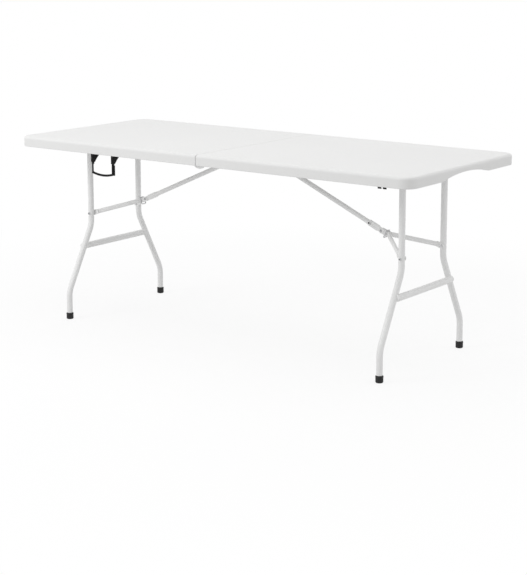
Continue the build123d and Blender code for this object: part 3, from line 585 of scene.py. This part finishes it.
class TABLE_OT_rivet_heads(Operator):
    """Draw domed heads on the rivets and pins, with a black disc in each bore as painted shade"""

    bl_idname = "table.rivet_heads"
    bl_label = "Rivet Heads"

    def dome(self, radius, height, bore):
        """A domed head along +Z round a bore."""
        floor, seat = 0.06 * height, -0.2 * height
        return spun((
            (0.0, floor), (bore, floor), (bore, 0.8 * height), (1.12 * bore, 0.98 * height),
            (0.58 * radius, height), (0.78 * radius, 0.82 * height), (0.94 * radius, 0.4 * height),
            (1.03 * radius, seat), (0.0, seat),
        ))

    def core(self, height, bore):
        """A black disc that fills the foot of a bore: painted shade in the hollow."""
        face, brow, seat = 0.3 * height, 0.2 * height, 0.08 * height
        radius = 0.97 * bore
        return spun(((0.0, face), (0.9 * bore, face), (radius, brow), (radius, seat), (0.0, seat)))

    def ends_across(self, node):
        """Places of both ends of a pin or a pair of rivets along Y, and the way that each faces."""
        low, high = corners(node)
        middle = (low + high) / 2
        return [((middle.x, y, middle.z), math.copysign(1.0, y)) for y in (low.y, high.y)]

    def leaf_ends(self, side, sizes):
        """Places of the inner heads of the leaf rivets, and the way that each faces."""
        low, high = corners(f"{side}_leaf_rivets", sizes.head_radius)
        level = (low.z + high.z) / 2
        rail = corners(f"{side}_rear_rail")[1]
        face = rail.y - sizes.leaf_head_reach
        return [((x, -way * face, level), way) for x in (low.x, high.x) for way in (1.0, -1.0)]

    def execute(self, context):
        sizes = context.scene.table_hardware
        small, large, height = sizes.head_radius, sizes.rivet_radius, sizes.dome_height
        groups = []
        for side in SIDES:
            for name, body, radius in (
                ("leg_rivets", "leg", large), ("knuckle_pin", "fork", large), ("strut_pin", "half", small),
            ):
                ends = self.ends_across(f"{side}_{name}")
                groups.append((f"{side}_{name}", f"{side}_{body}", radius, ends))
            ends = self.leaf_ends(side, sizes)
            groups.append((f"{side}_leaf_rivets", f"{side}_half", small, ends))
        for end, side, way in (("front", "left", 1.0), ("rear", "right", -1.0)):
            low, high = corners(f"{end}_hinge_pin")
            middle = (low + high) / 2
            inner = high.y if end == "front" else low.y
            ends = [((middle.x, inner, middle.z), way)]
            groups.append((f"{end}_hinge_pin", f"{side}_half", small, ends))
        for name, body, radius, ends in groups:
            bore = sizes.bore_radius * radius / large
            places = [aim(place, (0.0, way, 0.0)) for place, way in ends]
            shape = self.dome(radius, height, bore)
            repeat(shape, places)
            piece(f"{name}_domes", shape, body, "plated_steel")
            # Black disc at the foot of each bore: painted shade in the hollow.
            shape = self.core(height, bore)
            repeat(shape, places)
            piece(f"{name}_cores", shape, body, "black_plastic")
        return {"FINISHED"}


class TABLE_OT_strut_plugs(Operator):
    """Set a black plug in the hole of each strut, as painted shade in the hole"""

    bl_idname = "table.strut_plugs"
    bl_label = "Strut Plugs"

    def plug(self, radius):
        """A low domed black plug along +Z, which stands in as painted shade in the strut's hole."""
        return spun((
            (0.0, 0.45 * radius), (0.5 * radius, 0.42 * radius), (0.85 * radius, 0.3 * radius),
            (radius, 0.15 * radius), (radius, 0.0), (0.0, 0.0),
        ))

    def execute(self, context):
        sizes = context.scene.table_hardware
        for side, way in (("left", 1.0), ("right", -1.0)):
            pivot = Vector(joints[f"{side}_strut_swing"]["pos_m"])
            knuckle = Vector(joints[f"{side}_fork_swing"]["pos_m"])
            place = knuckle - (knuckle - pivot).normalized() * sizes.shade_plug_setback
            place.y = way * sizes.shade_plug_seat
            # Black plug in the strut's hole: painted shade in the hollow.
            shape = self.plug(sizes.shade_plug_radius)
            repeat(shape, [aim(place, (0.0, way, 0.0))])
            piece(f"{side}_strut_plug", shape, f"{side}_strut", "black_plastic")
        return {"FINISHED"}


class TABLE_OT_weld_beads(Operator):
    """Lay weld beads round the axles on both sides of each leg"""

    bl_idname = "table.weld_beads"
    bl_label = "Weld Beads"

    def bead(self, around, radius, sides=10):
        """A round bead along a circle about Z."""
        turns = [side * math.tau / sides for side in range(sides)]
        ring = [(around + radius * math.cos(turn), radius * math.sin(turn)) for turn in turns]
        return spun(ring + ring[:1], steps=32)

    def execute(self, context):
        sizes = context.scene.table_hardware
        for side in SIDES:
            low, high = corners(f"{side}_leg_axle")
            middle = (low + high) / 2
            axle_radius = (high.z - low.z) / 2
            outer = high.y - sizes.axle_overhang
            inner = outer - sizes.leg_diameter
            places = [(middle.x, y, middle.z) for y in (-outer, -inner, inner, outer)]
            shape = self.bead(axle_radius + sizes.weld_stand, sizes.weld_radius)
            repeat(shape, [aim(place, (0.0, 1.0, 0.0)) for place in places])
            piece(f"{side}_axle_beads", shape, f"{side}_leg", "powder_coat")
        return {"FINISHED"}


class TABLE_OT_foot_beads(Operator):
    """Draw the bead below the upper edge of each foot cap"""

    bl_idname = "table.foot_beads"
    bl_label = "Foot Beads"

    def bead(self, radius, sizes):
        """A bead about Z on a foot cap whose upper edge lies at the origin."""
        high = -sizes.foot_bead_drop
        low = high - sizes.foot_bead_width
        root = radius - sizes.foot_bead_root
        lip = radius + sizes.foot_bead_lip
        crest = radius + sizes.foot_bead_rise
        ease = sizes.foot_bead_ease
        return spun((
            (root, low), (lip, low), (crest, low + ease),
            (crest, high - ease), (lip, high), (root, high), (root, low),
        ), steps=48)

    def execute(self, context):
        sizes = context.scene.table_hardware
        for side in SIDES:
            for end in ENDS:
                foot = f"{side}_{end}_foot"
                low, high = corners(foot)
                middle = (low + high) / 2
                shape = self.bead((high.y - low.y) / 2, sizes)
                repeat(shape, [Matrix.Translation((middle.x, middle.y, high.z))])
                piece(f"{foot}_bead", shape, f"{side}_leg", "foot_plastic")
        return {"FINISHED"}


class TABLE_OT_studio(Operator):
    """Add the floor, the light and the camera"""

    bl_idname = "table.studio"
    bl_label = "Studio"

    def seen(self, tree):
        """Mask of the rays that show a surface: from the camera, mirrored or passed on."""
        ray = tree.nodes.new("ShaderNodeLightPath")
        mask = ray.outputs["Is Camera Ray"]
        for kind in ("Is Glossy Ray", "Is Transmission Ray"):
            either = tree.nodes.new("ShaderNodeMath")
            either.operation = "MAXIMUM"
            tree.links.new(mask, either.inputs[0])
            tree.links.new(ray.outputs[kind], either.inputs[1])
            mask = either.outputs[0]
        return mask

    def paper(self, studio):
        """Floor finish that shows white, and keeps its own shading near the table."""
        material = bpy.data.materials.new("studio_floor")
        material.use_nodes = True
        tree = material.node_tree
        tree.nodes.clear()
        place = tree.nodes.new("ShaderNodeTexCoord")
        reach = tree.nodes.new("ShaderNodeVectorMath")
        reach.operation = "LENGTH"
        fade = tree.nodes.new("ShaderNodeMapRange")
        fade.interpolation_type = "SMOOTHSTEP"
        fade.inputs["From Min"].default_value = studio.shadow_near
        fade.inputs["From Max"].default_value = studio.shadow_far
        fade.inputs["To Min"].default_value = 1.0 - studio.shadow_share
        fade.inputs["To Max"].default_value = 1.0
        bounce = tree.nodes.new("ShaderNodeBsdfDiffuse")
        bounce.inputs["Color"].default_value = (*[studio.floor_bounce] * 3, 1.0)
        shaded = tree.nodes.new("ShaderNodeBsdfDiffuse")
        shaded.inputs["Color"].default_value = WHITE
        glow = tree.nodes.new("ShaderNodeEmission")
        shown = tree.nodes.new("ShaderNodeMixShader")
        mix = tree.nodes.new("ShaderNodeMixShader")
        output = tree.nodes.new("ShaderNodeOutputMaterial")
        link = tree.links.new
        link(place.outputs["Object"], reach.inputs[0])
        link(reach.outputs["Value"], fade.inputs["Value"])
        link(fade.outputs["Result"], shown.inputs["Fac"])
        link(shaded.outputs["BSDF"], shown.inputs[1])
        link(glow.outputs["Emission"], shown.inputs[2])
        link(self.seen(tree), mix.inputs["Fac"])
        link(bounce.outputs["BSDF"], mix.inputs[1])
        link(shown.outputs["Shader"], mix.inputs[2])
        link(mix.outputs["Shader"], output.inputs["Surface"])
        return material

    def floor(self, scene, studio):
        """Plain wide floor under the feet."""
        mesh = bpy.data.meshes.new("floor")
        shape = bmesh.new()
        bmesh.ops.create_grid(shape, x_segments=1, y_segments=1, size=studio.floor_reach)
        shape.to_mesh(mesh)
        shape.free()
        mesh.materials.append(self.paper(studio))
        floor = bpy.data.objects.new("floor", mesh)
        scene.collection.objects.link(floor)

    def sky(self, scene, studio):
        """Even light from all round, which shows white."""
        world = bpy.data.worlds.new("studio_sky")
        scene.world = world
        world.use_nodes = True
        tree = world.node_tree
        tree.nodes.clear()
        lit = tree.nodes.new("ShaderNodeBackground")
        lit.inputs["Strength"].default_value = studio.sky_level
        lit.inputs["Color"].default_value = WHITE
        plain = tree.nodes.new("ShaderNodeBackground")
        plain.inputs["Color"].default_value = WHITE
        mix = tree.nodes.new("ShaderNodeMixShader")
        output = tree.nodes.new("ShaderNodeOutputWorld")
        link = tree.links.new
        link(self.seen(tree), mix.inputs["Fac"])
        link(lit.outputs["Background"], mix.inputs[1])
        link(plain.outputs["Background"], mix.inputs[2])
        link(mix.outputs["Shader"], output.inputs["Surface"])

    def lamp(self, scene, studio, name):
        """A square soft lamp that faces its target."""
        place = Vector(getattr(studio, f"{name}_place"))
        target = Vector(getattr(studio, f"{name}_target"))
        light = bpy.data.lights.new(f"{name}_lamp", "AREA")
        light.shape = "SQUARE"
        light.size = getattr(studio, f"{name}_size")
        light.energy = getattr(studio, f"{name}_power")
        lamp = bpy.data.objects.new(f"{name}_lamp", light)
        lamp.location = place
        lamp.rotation_mode = "QUATERNION"
        lamp.rotation_quaternion = (target - place).to_track_quat("-Z", "Y")
        scene.collection.objects.link(lamp)

    def camera(self, scene, studio):
        """Camera that stands at its place and looks along its two angles."""
        lens = bpy.data.cameras.new("camera")
        lens.sensor_width = studio.sensor
        lens.lens = studio.lens
        lens.clip_end = studio.sight
        camera = bpy.data.objects.new("camera", lens)
        turn, tilt = studio.camera_azimuth, studio.camera_elevation
        back = Vector((
            math.sin(turn) * math.cos(tilt), -math.cos(turn) * math.cos(tilt), math.sin(tilt),
        ))
        camera.location = studio.camera_place
        camera.rotation_mode = "QUATERNION"
        camera.rotation_quaternion = (-back).to_track_quat("-Z", "Y")
        scene.collection.objects.link(camera)
        scene.camera = camera

    def execute(self, context):
        scene = context.scene
        studio = scene.table_studio
        scene.view_settings.view_transform = "Standard"
        self.floor(scene, studio)
        self.sky(scene, studio)
        for name in LAMPS:
            self.lamp(scene, studio, name)
        self.camera(scene, studio)
        return {"FINISHED"}


class TABLE_PT_panel(Panel):
    """Lists the steps that dress the table"""

    bl_idname = "TABLE_PT_panel"
    bl_label = "Folding Table"
    bl_space_type = "VIEW_3D"
    bl_region_type = "UI"
    bl_category = "Table"

    def draw(self, context):
        for step in STEPS:
            self.layout.operator(step.bl_idname)


STEPS = (
    TABLE_OT_finishes, TABLE_OT_screw_heads, TABLE_OT_rivet_heads, TABLE_OT_strut_plugs,
    TABLE_OT_weld_beads, TABLE_OT_foot_beads, TABLE_OT_studio,
)
GROUPS = {
    "table_finishes": TableFinishes, "table_hardware": TableHardware, "table_studio": TableStudio,
}
CLASSES = (*GROUPS.values(), *STEPS, TABLE_PT_panel)


def register():
    for item in CLASSES:
        bpy.utils.register_class(item)
    for name, kind in GROUPS.items():
        setattr(bpy.types.Scene, name, PointerProperty(type=kind))


def unregister():
    for name in GROUPS:
        delattr(bpy.types.Scene, name)
    for item in reversed(CLASSES):
        bpy.utils.unregister_class(item)


def main():
    register()
    bpy.ops.table.finishes()
    bpy.ops.table.screw_heads()
    bpy.ops.table.rivet_heads()
    bpy.ops.table.strut_plugs()
    bpy.ops.table.weld_beads()
    bpy.ops.table.foot_beads()
    bpy.ops.table.studio()


if __name__ == "__main__":
    main()
